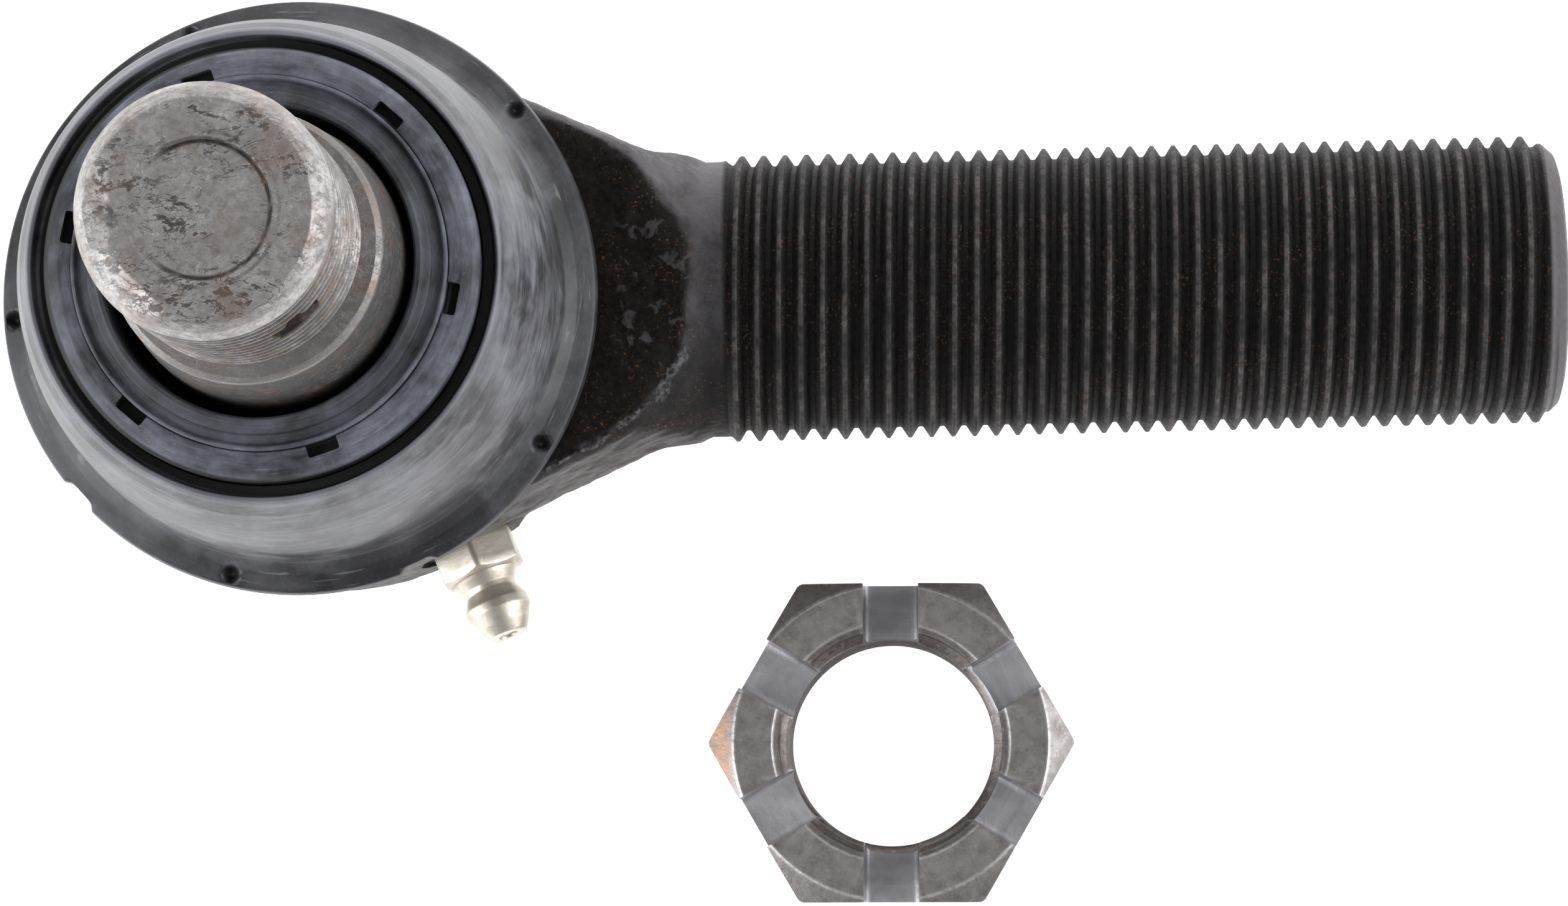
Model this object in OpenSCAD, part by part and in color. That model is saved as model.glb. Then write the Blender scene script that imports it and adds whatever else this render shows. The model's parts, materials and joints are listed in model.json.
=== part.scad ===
// Tie rod end: a forged socket with a threaded shank, a sealed ball stud, a grease fitting,
// and the stud's slotted nut lying beside it.
// Origin: centre of the socket's flat underside. +Z: up along the stud. +X: along the shank.

/* [Socket forging] */
// Height of the ball centre and of the shank axis above the underside
ball_z = 24.5; // [24.5:0.5:28]
// Outer radius of the socket body
socket_r = 27; // [26.6:0.1:28]
// Height of the socket's top face above the ball centre
socket_top = 13.2; // [13:0.1:13.6]
// Distance from the stud axis to the shank's free end
shank_end_x = 121.9; // [100:0.1:160]
// Distance from the stud axis to the start of the shank's thread
shank_thread_x = 41; // [40.6:0.1:48]
// Major radius of the shank's thread, 1 1/8 inch
shank_thread_r = 14.2875; // [14:0.0125:14.6]

/* [Ball stud] */
// Radius of the ball
ball_r = 17.5; // [17:0.1:17.5]
// Radius of the neck between ball and taper
neck_r = 11.5; // [10:0.1:11.5]
// Height of the taper's small end above the ball centre
taper_top = 52; // [48:0.5:56]
// Radius of the taper's small end
taper_small_r = 12.42; // [12:0.01:12.8]
// Height of the stud's end face above the ball centre
stud_top = 78.7; // [76:0.1:84]
// Major radius of the stud's thread, 7/8 inch
stud_thread_r = 11.1125; // [11:0.0125:11.2]
// Radius of the cross hole for the cotter pin
cotter_hole_r = 2.6; // [2:0.1:3]
// Height of the cross hole above the ball centre
cotter_hole_z = 67.5; // [64:0.5:70]
// Direction of the cross hole, seen from above
cotter_hole_angle = -52; // [-90:1:90]

/* [Boot] */
// Outer radius of the boot's flange
flange_r = 28.8; // [28.8:0.1:30]
// Outer radius of the boot's top lip
boot_lip_r = 22; // [21.8:0.1:22.4]
// Height of the boot's top lip above the ball centre
boot_lip_z = 38; // [37.5:0.1:38.4]
// Number of mould dimples round the flange
flange_dimples = 5; // [3:1:8]
// Number of slots in the seal ring
ring_slots = 6; // [4:1:8]
// Inner radius of the wiper lip at its top
wiper_hole_r = 14.3; // [14:0.1:14.6]

/* [Grease fitting] */
// Direction in which the grease fitting points, seen from above
zerk_angle = -69; // [-75:1:-60]
// Upward slope of the grease fitting in degrees
zerk_rise = 8; // [0:1:12]
// Width across flats of the fitting's hexagon
zerk_hex_af = 7.94; // [7:0.02:9]
// Length of the fitting outside the forging
zerk_length = 10.6; // [10.6:0.1:11]

/* [Slotted nut] */
// Width across flats
nut_af = 31.75; // [30:0.05:33]
// Height of the nut
nut_h = 19; // [17:0.5:22]
// Radius of the threaded hole at the thread's crests
nut_bore_r = 10.2; // [10:0.05:10.4]
// Width of a cotter slot
nut_slot_w = 5.5; // [4:0.1:6]
// Depth of a cotter slot
nut_slot_depth = 6; // [4:0.1:7]
// Where the loose nut lies along the shank
nut_x = 55.6; // [50:0.1:70]
// Where the loose nut lies beside the shank
nut_y = -43.8; // [-60:0.1:-40]
// Turn of the loose nut about its own axis
nut_turn = -1; // [-30:1:30]

/* [Hidden] */

$fn = 96;
clear = 0.05;            // running clearance of the ball's bearing surfaces
bottom = -ball_z;        // underside, measured from the ball centre
liner_t = 1.5;           // thickness of the bearing liner
seat_r = ball_r + liner_t + 2 * clear;   // radius of the spherical seat in the forging
seat_top = 9.6;          // height at which the spherical seat ends
mouth_r = 18.3;          // radius of the socket's mouth at the top face
band_r = 26;             // radius of the turned band that carries the clamp ring
band_z = 10;             // height of the shoulder under that band
clamp_ring_r = 27.3;     // outer radius of the clamp ring

cover_r = 20.1;          // radius of the end cover
cover_t = 2.6;           // thickness of the end cover
lip_t = 1.15;            // thickness of the rolled lip that holds the cover
cover_z = bottom + lip_t + clear;        // lower face of the cover's rim
cover_dish = lip_t + clear;              // how far the cover's centre is dished down

seat_rim_z = -12;        // upper rim of the pressure seat
seat_foot_z = -17.75;    // lower face of the pressure seat
washer_t = 0.85;         // thickness of the thrust washer
spring_t = 1;            // thickness of the disc spring

taper_z = 23.5;          // height of the taper's large end
taper_large_r = taper_small_r + (taper_top - taper_z) / 16;   // 1 in 8 on diameter
relief_r = 9.9;          // radius of the thread's run-out groove
bevel_z = 77;            // height at which the end bevel starts
end_face_r = 9.5;        // radius of the stud's flat end

wall_t = 2.2;            // thickness of the boot's wall
flange_top = socket_top + 2.1;
groove_floor = boot_lip_z - 1.6;         // floor of the groove inside the top lip
ring_r = 20.1;           // outer radius of the seal ring
ridge_r = 17.35;         // radius at which seal ring and wiper lip meet

zerk_axis_x = 14.1;      // a point on the fitting's axis, at its seat on the forging
zerk_axis_y = -22.6;
zerk_axis_z = -7.5;
zerk_bore_r = 1.6;       // bore of the fitting
zerk_ball_r = 1.3;       // check ball
zerk_ball_at = 9.15;     // where the check ball rests along the fitting
zerk_pad_r = 5.6;        // round pad on the forging that the fitting sits on
zerk_spring_turns = 5;   // turns of the spring behind the check ball
zerk_spring_steps = 12;  // steps in each of its turns
zerk_spring_sides = 6;   // sides of its wire
zerk_wire_r = 0.2;
zerk_coil_r = 1.1;
zerk_spring_low = 1.75;
zerk_spring_high = zerk_ball_at - zerk_ball_r - 0.3;

// Puts a shape drawn about the ball centre into the part's frame.
module at_ball() {
    translate([0, 0, ball_z]) children();
}

// Turns a profile drawn as [radius, height] about the stud axis.
module turned(profile) {
    at_ball() rotate_extrude() polygon(profile);
}

// Turns a profile drawn as [radius, x] about the shank axis.
module turned_along_x(profile) {
    at_ball() rotate([0, 90, 0]) rotate_extrude() polygon(profile);
}

// Puts a shape drawn along +Z onto the grease fitting's axis.
module on_zerk_axis() {
    at_ball() translate([zerk_axis_x, zerk_axis_y, zerk_axis_z])
        rotate([0, 90 - zerk_rise, zerk_angle]) children();
}

// The neck seen from above: its sides run from the socket in to the shank.
neck_outline = [[0, 26.4], [8, 25.9], [14, 23.6], [21, 20.3], [27, 17.5], [32.5, 15.1],
                [34.3, 14.5], [40, 14.5]];
// The neck seen from the side: a flat that rises a little towards the shank.
neck_side = [[0, 13.2], [29, 13.2], [37.4, 14.4], [40, 14.4]];
// The flare of the neck as it would be turned about the shank axis.
neck_flare = [[0, 0], [34, 0], [34, 22], [27.5, 27], [23.5, 29], [20.3, 31], [17.8, 33],
              [15.8, 35], [14.45, 37], [13.55, 39], [13.55, 41], [0, 41]];

function mirrored(half) =
    concat(half, [for (i = [len(half) - 1 : -1 : 0]) [half[i][0], -half[i][1]]]);

module neck() {
    intersection() {
        turned_along_x(neck_flare);
        at_ball() translate([0, 0, -30]) linear_extrude(60) polygon(mirrored(neck_outline));
        at_ball() rotate([90, 0, 0]) translate([0, 0, -30])
            linear_extrude(60) polygon(mirrored(neck_side));
    }
}

module socket_forging() {
    color("#26221f") difference() {
        union() {
            turned([[0, bottom], [22.6, bottom], [25.4, bottom + 3], [socket_r, bottom + 8],
                    [socket_r, band_z - 1.2], [band_r, band_z], [band_r, socket_top], [0, socket_top]]);
            neck();
            turned_along_x([[0, 36], [13.55, 36], [13.55, shank_thread_x - 0.6],
                            [shank_thread_r, shank_thread_x], [shank_thread_r, shank_end_x - 2.2],
                            [12, shank_end_x], [0, shank_end_x]]);
            on_zerk_axis() translate([0, 0, -6]) cylinder(r = zerk_pad_r, h = 6);
        }
        turned([[0, bottom - 1], [17.2, bottom - 1], [17.2, bottom + lip_t],
                [cover_r + clear, bottom + lip_t], [cover_r + clear, cover_z + cover_t + clear],
                [seat_r, cover_z + cover_t + clear], [seat_r, 0], [0, 0]]);
        intersection() {
            at_ball() sphere(r = seat_r);
            at_ball() translate([0, 0, -1]) cylinder(r = 30, h = seat_top + 1);
        }
        turned([[0, seat_top - 1], [sqrt(seat_r * seat_r - seat_top * seat_top), seat_top - 1],
                [sqrt(seat_r * seat_r - seat_top * seat_top), seat_top],
                [mouth_r, socket_top], [mouth_r, socket_top + 1], [0, socket_top + 1]]);
        turned([[band_r, band_z], [clamp_ring_r + clear, band_z], [clamp_ring_r + clear, socket_top + 1],
                [band_r, socket_top + 1]]);
        on_zerk_axis() translate([0, 0, -12]) cylinder(r = 3.02, h = 13);
        on_zerk_axis() cylinder(r = zerk_pad_r, h = 6);
    }
}

module ball_stud() {
    color("#b4afa8") difference() {
        union() {
            at_ball() intersection() {
                sphere(r = ball_r);
                translate([0, 0, -ball_r + 0.8]) cylinder(r = 30, h = 40);
            }
            turned([[0, 0], [neck_r, 0], [neck_r, 17.2], [12.2, 19.4], [taper_large_r, taper_z],
                    [taper_small_r, taper_top], [taper_small_r - 0.5, taper_top + 0.5],
                    [relief_r, taper_top + 0.9], [relief_r, taper_top + 2.2],
                    [stud_thread_r, taper_top + 3.4], [stud_thread_r, bevel_z - 0.8],
                    [10.9, bevel_z], [end_face_r, stud_top], [0, stud_top]]);
        }
        at_ball() translate([0, 0, cotter_hole_z]) rotate([90, 0, cotter_hole_angle + 90])
            translate([0, 0, -20]) cylinder(r = cotter_hole_r, h = 40);
        turned([[5.3, stud_top - 0.35], [6.3, stud_top - 0.35], [6.5, stud_top + 1], [5.1, stud_top + 1]]);
    }
}

module bearing_liner() {
    color("#d8cfae") at_ball() difference() {
        sphere(r = seat_r - clear);
        sphere(r = ball_r + clear);
        translate([0, 0, 8.6]) cylinder(r = 30, h = 30);
        translate([0, 0, -36.8]) cylinder(r = 30, h = 30);
    }
}

module pressure_seat() {
    color("#8d8579") difference() {
        turned([[6, seat_foot_z], [17.6, seat_foot_z], [seat_r - 0.15, seat_foot_z + 1.4],
                [seat_r - 0.15, seat_rim_z], [6, seat_rim_z]]);
        at_ball() sphere(r = ball_r + clear);
    }
}

module thrust_washer() {
    z = seat_foot_z - washer_t;
    color("#9a9a98") turned([[6.5, z], [14.5, z], [14.5, z + washer_t - clear], [6.5, z + washer_t - clear]]);
}

module preload_spring() {
    outer_z = cover_z + cover_t + clear;
    inner_z = seat_foot_z - washer_t - clear - spring_t;
    color("#5b5f63") turned([[8.5, inner_z], [17, outer_z], [17, outer_z + spring_t],
                             [8.5, inner_z + spring_t]]);
}

module end_cover() {
    top = cover_z + cover_t;
    color("#3a3734") turned([[0, bottom], [11, bottom], [13.4, cover_z], [cover_r, cover_z], [cover_r, top],
                             [19.75, top], [19.75, top - 1.25], [18, top - 1.25], [18, top],
                             [13, top], [10.6, top - cover_dish], [0, top - cover_dish]]);
}

module cover_seal() {
    color("#17171a") turned_ring(18.87, cover_z + cover_t - 0.63, 0.6);
}

// A round ring of the given radius, height and wire radius about the stud axis.
module turned_ring(ring_radius, z, wire_r) {
    at_ball() translate([0, 0, z]) rotate_extrude() translate([ring_radius, 0]) circle(r = wire_r, $fn = 32);
}

module dust_boot() {
    lip = boot_lip_r;
    color("#4a4b50") difference() {
        turned([[20.5, socket_top + clear], [flange_r - 0.4, socket_top + clear],
                [flange_r, socket_top + 0.7], [flange_r - 0.2, socket_top + 1.4],
                [26.7, flange_top], [25.7, flange_top + 0.9], [25.3, flange_top + 2.2],
                [25.2, 21], [24.8, 26], [24, 31], [22.9, 35.4], [lip, boot_lip_z - 0.7],
                [lip - 0.15, boot_lip_z], [lip - 0.7, boot_lip_z], [lip - 0.8, groove_floor],
                [ring_r + 0.1, groove_floor], [ring_r + 0.1, groove_floor - 1.4], [21.6, 31],
                [24.8 - wall_t, 26], [25.2 - wall_t, 21], [22.4, flange_top + 1.4],
                [20.5, flange_top]]);
        for (i = [0 : flange_dimples - 1])
            rotate([0, 0, 39.5 + i * 360 / flange_dimples]) at_ball()
                translate([27.4, 0, socket_top + 0.5]) cylinder(r = 0.8, h = 3);
        for (angle = [221, 293])
            rotate([0, 0, angle]) at_ball()
                translate([flange_r + 3.2, 0, socket_top - 1]) cylinder(r = 3.8, h = 5);
    }
}

module boot_clamp_ring() {
    color("#55524e") turned([[band_r + clear, band_z + 0.2], [clamp_ring_r, band_z + 0.2],
                             [clamp_ring_r, socket_top], [band_r + clear, socket_top]]);
}

module boot_stiffener() {
    color("#77756f") turned([[16.4, groove_floor - 1.2], [19.7, groove_floor - 1.2],
                             [19.7, groove_floor - 0.3], [16.4, groove_floor - 0.3]]);
}

module seal_ring() {
    color("#55585f") difference() {
        turned([[ridge_r, groove_floor - 0.2], [ring_r, groove_floor - 0.2], [ring_r, 38.7],
                [19.6, 39.3], [18.6, 39.7], [ridge_r, 39.9]]);
        for (i = [0 : ring_slots - 1])
            rotate([0, 0, 48 + i * 360 / ring_slots]) at_ball()
                translate([ridge_r - 1, -1.5, 38.3]) cube([2.2, 3, 4]);
    }
}

module wiper_lip() {
    color("#3b3d43") turned([[13.9, 31], [14.9, 31], [14.9, 34.6], [16.1, 35], [16.1, groove_floor - 0.2],
                             [ridge_r - 0.05, groove_floor - 0.2], [ridge_r - 0.05, 40.5], [16.9, 40.6],
                             [16.7, 40], [15.9, 40.2], [15.8, 40.7], [15.1, 40.9], [15, 41.3],
                             [14.5, 41.3], [wiper_hole_r, 41], [wiper_hole_r, 34], [13.9, 32.6]]);
}

module garter_spring() {
    color("#8f9294") turned_ring(15.65, 33, 0.7);
}

module zerk_body() {
    hex_h = 4.2;
    corner_r = zerk_hex_af / 2 / cos(30);
    color("#c9c2ae") on_zerk_axis() difference() {
        union() {
            translate([0, 0, -7]) cylinder(r = 3, h = 7.5);
            intersection() {
                cylinder(r = corner_r, h = hex_h, $fn = 6);
                rotate_extrude() polygon([[0, 0], [corner_r - 0.3, 0], [corner_r, 0.4],
                    [corner_r, hex_h - 0.9], [zerk_hex_af / 2 - 0.3, hex_h], [0, hex_h]]);
            }
            rotate_extrude() polygon([[0, 3], [3.1, 3], [3.1, hex_h], [2.5, 5.3], [2.45, 6.3], [3.1, 7.4],
                [3.1, 8.2], [2.5, 9.4], [1.9, zerk_length], [0, zerk_length]]);
        }
        rotate_extrude() polygon([[0, -8], [zerk_bore_r, -8], [zerk_bore_r, 9.4], [0.9, 10.2],
            [0.9, zerk_length + 1], [0, zerk_length + 1]]);
    }
}

module zerk_ball() {
    color("#d9d9d6") on_zerk_axis() translate([0, 0, zerk_ball_at]) sphere(r = zerk_ball_r, $fn = 48);
}

// The spring behind the check ball, a wire swept along a helix.
function wire_ring(i) =
    let (a = 360 * i / zerk_spring_steps,
         rise = (zerk_spring_high - zerk_spring_low) / (zerk_spring_turns * zerk_spring_steps))
    [for (j = [0 : zerk_spring_sides - 1])
        let (b = 360 * j / zerk_spring_sides, r = zerk_coil_r + zerk_wire_r * cos(b))
        [r * cos(a), r * sin(a), zerk_spring_low + rise * i + zerk_wire_r * sin(b)]];

module zerk_spring() {
    n = zerk_spring_turns * zerk_spring_steps;
    m = zerk_spring_sides;
    points = [for (i = [0 : n]) each wire_ring(i)];
    sides = [for (i = [0 : n - 1]) for (j = [0 : m - 1])
        [i * m + j, i * m + (j + 1) % m, (i + 1) * m + (j + 1) % m, (i + 1) * m + j]];
    first = [for (j = [m - 1 : -1 : 0]) j];
    last = [for (j = [0 : m - 1]) n * m + j];
    color("#a7a9a8") on_zerk_axis() polyhedron(points = points, faces = concat(sides, [first, last]));
}

module zerk_washer() {
    color("#9d9b94") on_zerk_axis() difference() {
        translate([0, 0, 0.6]) cylinder(r = zerk_bore_r - clear, h = 0.8, $fn = 48);
        cylinder(r = 0.7, h = 4, $fn = 48);
    }
}

module slotted_nut() {
    corner_r = nut_af / 2 / cos(30);
    sink_r = 11.6;
    color("#4b4643") translate([nut_x, nut_y, 0]) rotate([0, 0, nut_turn]) difference() {
        intersection() {
            cylinder(r = corner_r, h = nut_h, $fn = 6);
            rotate_extrude() polygon([[0, 0], [nut_af / 2 - 0.2, 0], [corner_r + 0.2, 1.6],
                [corner_r + 0.2, nut_h - 1.6], [nut_af / 2 - 0.25, nut_h], [0, nut_h]]);
        }
        rotate_extrude() polygon([[0, -1], [sink_r, -1], [sink_r, 0], [nut_bore_r, sink_r - nut_bore_r],
            [nut_bore_r, nut_h - (sink_r - nut_bore_r)], [sink_r, nut_h], [sink_r, nut_h + 1],
            [0, nut_h + 1]]);
        for (i = [0 : 2])
            rotate([0, 0, 30 + i * 60]) translate([-20, -nut_slot_w / 2, nut_h - nut_slot_depth])
                cube([40, nut_slot_w, nut_slot_depth + 1]);
    }
}

socket_forging();
ball_stud();
bearing_liner();
pressure_seat();
thrust_washer();
preload_spring();
end_cover();
cover_seal();
dust_boot();
boot_clamp_ring();
boot_stiffener();
seal_ring();
wiper_lip();
garter_spring();
zerk_body();
zerk_ball();
zerk_spring();
zerk_washer();
slotted_nut();
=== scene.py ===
import json
import math

import bmesh
import bpy
import numpy as np
from mathutils import Matrix, Vector, noise


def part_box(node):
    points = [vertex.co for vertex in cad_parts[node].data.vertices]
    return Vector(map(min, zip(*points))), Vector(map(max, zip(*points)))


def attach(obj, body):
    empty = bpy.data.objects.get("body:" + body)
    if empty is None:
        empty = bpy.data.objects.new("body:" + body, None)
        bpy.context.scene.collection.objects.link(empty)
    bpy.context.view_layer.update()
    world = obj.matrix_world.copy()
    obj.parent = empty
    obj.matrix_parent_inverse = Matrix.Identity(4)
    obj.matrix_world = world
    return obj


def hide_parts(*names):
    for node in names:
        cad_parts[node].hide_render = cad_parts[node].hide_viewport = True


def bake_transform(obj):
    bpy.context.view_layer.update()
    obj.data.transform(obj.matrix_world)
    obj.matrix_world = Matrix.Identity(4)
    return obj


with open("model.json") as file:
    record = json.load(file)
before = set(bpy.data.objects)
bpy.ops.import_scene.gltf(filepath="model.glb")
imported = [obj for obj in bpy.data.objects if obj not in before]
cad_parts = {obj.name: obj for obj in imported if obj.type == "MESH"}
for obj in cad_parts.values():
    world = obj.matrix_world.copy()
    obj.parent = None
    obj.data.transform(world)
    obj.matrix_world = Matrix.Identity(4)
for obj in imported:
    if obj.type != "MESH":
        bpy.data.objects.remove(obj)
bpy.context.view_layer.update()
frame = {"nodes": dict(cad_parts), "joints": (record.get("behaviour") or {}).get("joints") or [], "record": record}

MM = 0.001

# ---------------------------------------------------------------- places taken from the frame

JOINT = {j["name"]: j for j in frame["joints"]}
MOUNT = {m["name"]: m for m in frame["record"]["mounts"]}
BALL_Z = JOINT["stud_tilt_x"]["pos_m"][2] / MM          # height of the ball centre, in mm
SOCKET_LOW, SOCKET_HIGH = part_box("socket_forging")
STUD_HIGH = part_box("ball_stud")[1]
NUT_LOW, NUT_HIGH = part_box("slotted_nut")
NUT_CENTRE = (Vector(NUT_LOW) + Vector(NUT_HIGH)) / 2    # in metres
NUT_TURN = -1.0            # degrees about its own axis
SOCKET_R = -SOCKET_LOW[0] / MM
SOCKET_TOP = 13.2          # the turned top face, lower than the neck; heights are from the ball centre
SHANK_END = SOCKET_HIGH[0] / MM
STUD_TOP = STUD_HIGH[2] / MM - BALL_Z - 0.07            # a hair low, since the stud leans a little
BOTTOM = -BALL_Z
ABOUT_BALL = Matrix.Translation((0, 0, BALL_Z))
ABOUT_BALL_METRES = Matrix.Translation((0, 0, BALL_Z * MM))

# ---------------------------------------------------------------- mesh tools


def make_object(name, points, faces, place=None):
    """A mesh object from points in millimetres. Points that coincide are welded and thin faces go."""
    mesh = bpy.data.meshes.new(name)
    mesh.from_pydata([tuple(p) for p in points], [], [tuple(f) for f in faces])
    bm = bmesh.new()
    bm.from_mesh(mesh)
    bmesh.ops.remove_doubles(bm, verts=bm.verts, dist=1e-4)
    bmesh.ops.dissolve_degenerate(bm, edges=bm.edges, dist=1e-5)
    bmesh.ops.recalc_face_normals(bm, faces=bm.faces)
    bm.to_mesh(mesh)
    bm.free()
    mesh.transform(Matrix.Scale(MM, 4) @ (place or Matrix.Identity(4)))
    piece = bpy.data.objects.new(name, mesh)
    bpy.context.scene.collection.objects.link(piece)
    return piece


def shade(piece, sharp_degrees=38):
    """Smooth shading, with edges sharper than the angle kept crisp."""
    piece.data.shade_smooth()
    piece.data.set_sharp_from_angle(angle=math.radians(sharp_degrees))


def rounded(corners, radius=0.3, steps=4, closed=False):
    """Rounds the corners of an outline. A third value on a corner is its own radius."""
    out = []
    count = len(corners)
    for i, corner in enumerate(corners):
        here = np.array(corner[:2], float)
        size = corner[2] if len(corner) > 2 else radius
        if (not closed and i in (0, count - 1)) or size <= 0:
            out.append(here)
            continue
        back = np.array(corners[i - 1][:2], float) - here
        ahead = np.array(corners[(i + 1) % count][:2], float) - here
        back_len, ahead_len = np.linalg.norm(back), np.linalg.norm(ahead)
        cos_between = float(back @ ahead) / (back_len * ahead_len)
        half = math.acos(max(-1.0, min(1.0, cos_between))) / 2
        reach = min(size / max(math.tan(half), 0.05), 0.45 * back_len, 0.45 * ahead_len)
        a, b = here + back / back_len * reach, here + ahead / ahead_len * reach
        for t in np.linspace(0, 1, steps + 1):
            out.append((1 - t) ** 2 * a + 2 * t * (1 - t) * here + t * t * b)
    return out


def dense(outline, step, closed=False):
    """Adds points so that no stretch of the outline is longer than step."""
    out = []
    ends = outline[1:] + outline[:1] if closed else outline[1:]
    for a, b in zip(outline, ends):
        parts = max(1, math.ceil(np.linalg.norm(np.array(b) - np.array(a)) / step))
        out += [np.array(a) + (np.array(b) - np.array(a)) * i / parts for i in range(parts)]
    return out if closed else out + [np.array(outline[-1])]


def grid_faces(columns, rows, shift=0, closed_rows=False):
    """Quads between neighbouring columns of a grid stored column by column, which wraps round.
    Where the last column meets the first, row k meets row k + shift."""
    faces = []
    last = rows if closed_rows else rows - 1
    for i in range(columns):
        j = (i + 1) % columns
        move = shift if j == 0 else 0
        for k in range(last):
            k2 = (k + 1) % rows
            a, b = k + move, k2 + move
            if shift:
                a, b = min(max(a, 0), rows - 1), min(max(b, 0), rows - 1)
            faces.append((i * rows + k, j * rows + a, j * rows + b, i * rows + k2))
    return faces


def turned(outline, columns=256, closed=False, change=None):
    """Points and faces of an outline of (radius, height) turned about +Z.
    change(radius, height, angle) may move a point; it gets arrays."""
    outline = np.array(outline, float)
    angle = np.arange(columns)[:, None] * 2 * math.pi / columns
    radius = np.broadcast_to(outline[:, 0], (columns, len(outline)))
    height = np.broadcast_to(outline[:, 1], (columns, len(outline)))
    if change:
        radius, height = change(radius, height, angle)
    points = np.stack([radius * np.cos(angle), radius * np.sin(angle), height + 0 * angle], -1)
    return points.reshape(-1, 3), grid_faces(columns, len(outline), closed_rows=closed)


# One pitch of a worn 60 degree thread: (share of the pitch, share of the depth).
TOOTH = [(-0.5, 0), (-0.44, 0), (-0.385, 0.05), (-0.2375, 0.5), (-0.09, 0.95), (-0.05, 1),
         (0.05, 1), (0.09, 0.95), (0.2375, 0.5), (0.385, 0.05), (0.44, 0)]


def threaded(start, end, pitch, root, crest, hand=1, columns=192, phase=0.0):
    """Points and faces of a helical thread along +Z from start to end.
    root(z) and crest(z) give the radii, so the thread can run in and out at its ends."""
    per_turn = len(TOOTH)
    turns = math.ceil((end - start) / pitch) + 3
    offset = np.array([[(n + t[0] + phase) * pitch for t in TOOTH] for n in range(-1, turns)]).ravel()
    share = np.tile([t[1] for t in TOOTH], turns + 1)
    angle = np.arange(columns)[:, None] * 2 * math.pi / columns
    z = start - pitch + offset[None, :] + hand * pitch * angle / (2 * math.pi)
    z = np.clip(z, start, end)
    radius = root(z) + (crest(z) - root(z)) * share[None, :]
    points = np.stack([radius * np.cos(angle), radius * np.sin(angle), z], -1).reshape(-1, 3)
    return points, grid_faces(columns, len(offset), shift=hand * per_turn)


def joined(parts):
    """One set of points and faces from several."""
    points, faces, base = [], [], 0
    for p, f in parts:
        points.append(p)
        faces += [tuple(i + base for i in face) for face in f]
        base += len(p)
    return np.concatenate(points), faces


def ramp(z, low_z, high_z, low, high):
    """Moves smoothly from low to high as z goes from low_z to high_z."""
    t = np.clip((z - low_z) / (high_z - low_z), 0, 1)
    return low + (high - low) * t * t * (3 - 2 * t)


def combine(piece, other, how):
    """Applies a boolean with another object, which is then removed."""
    modifier = piece.modifiers.new("combine", "BOOLEAN")
    modifier.operation = how
    modifier.solver = "EXACT"
    modifier.object = other
    take_result(piece)
    bpy.data.objects.remove(other)


def take_result(piece):
    """Keeps what the modifiers make of the mesh, and drops the modifiers."""
    graph = bpy.context.evaluated_depsgraph_get()
    mesh = bpy.data.meshes.new_from_object(piece.evaluated_get(graph))
    piece.modifiers.clear()
    piece.data = mesh


def roughen(piece, depth, size, weight=None, seed=0.0):
    """Moves the surface in and out by smooth noise. weight(point) in metres scales it."""
    mesh = piece.data
    moved = []
    for v in mesh.vertices:
        p = v.co / (size * MM) + Vector((seed, seed, seed))
        amount = noise.fractal(p, 1.0, 2.0, 3) * depth * MM
        if weight:
            amount *= weight(v.co)
        moved.append(v.co + v.normal * amount)
    for v, co in zip(mesh.vertices, moved):
        v.co = co
    mesh.update()


# ---------------------------------------------------------------- shader tools


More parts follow.
